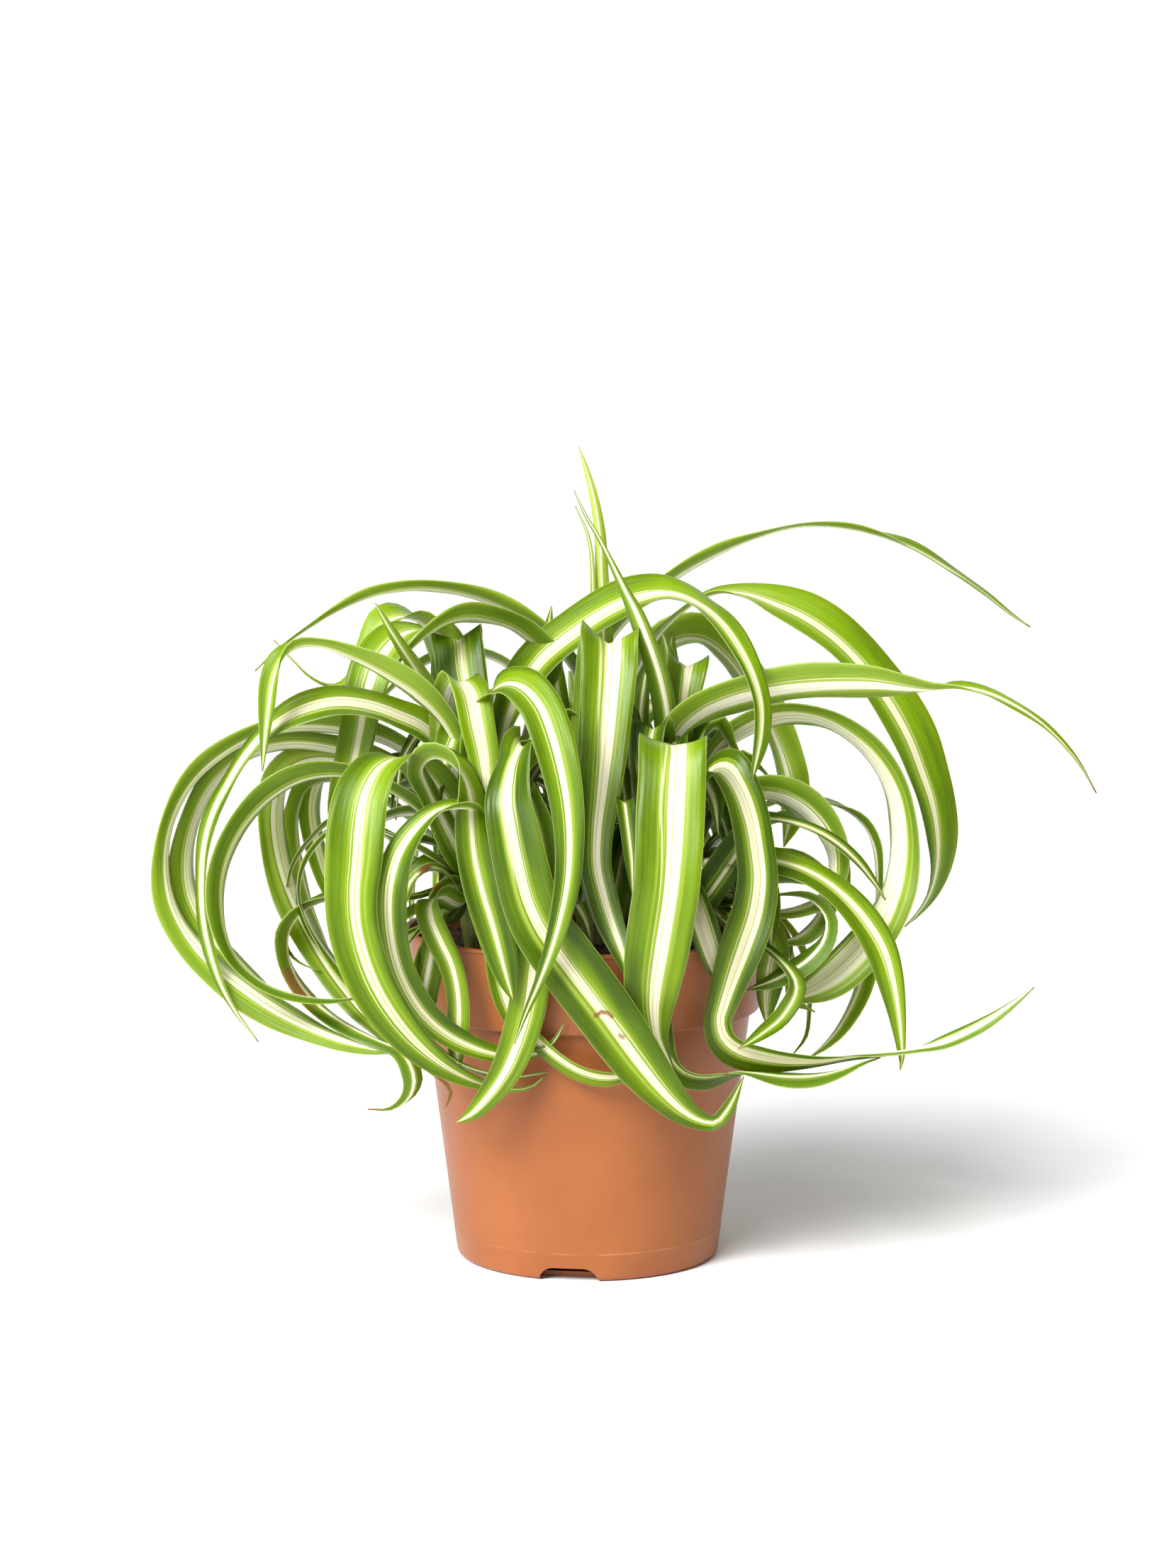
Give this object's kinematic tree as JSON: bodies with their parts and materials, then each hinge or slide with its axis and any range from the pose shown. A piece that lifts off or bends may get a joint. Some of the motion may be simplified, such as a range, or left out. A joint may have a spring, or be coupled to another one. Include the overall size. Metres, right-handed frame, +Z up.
{
  "type": "potted plant",
  "caption": "Curly spider plant with variegated arching leaves, built together with its soil and its tapered clay-coloured plastic nursery pot.",
  "frame": {"origin": "centre of the pot's underside, on the plane it stands on", "axes": "+Z up, -Y towards the side the picture shows, +X to the right of that view"},
  "size_m": [0.3038, 0.221, 0.2659],
  "materials": {
    "pot": "satin",
    "soil": "matte",
    "leaf": "satin"
  },
  "bodies": {
    "root": {"pot": "pot", "soil": "soil", "crown_left": "leaf", "crown_right": "leaf", "crown_centre": "leaf", "crown_rear": "leaf"}
  },
  "joints": []
}
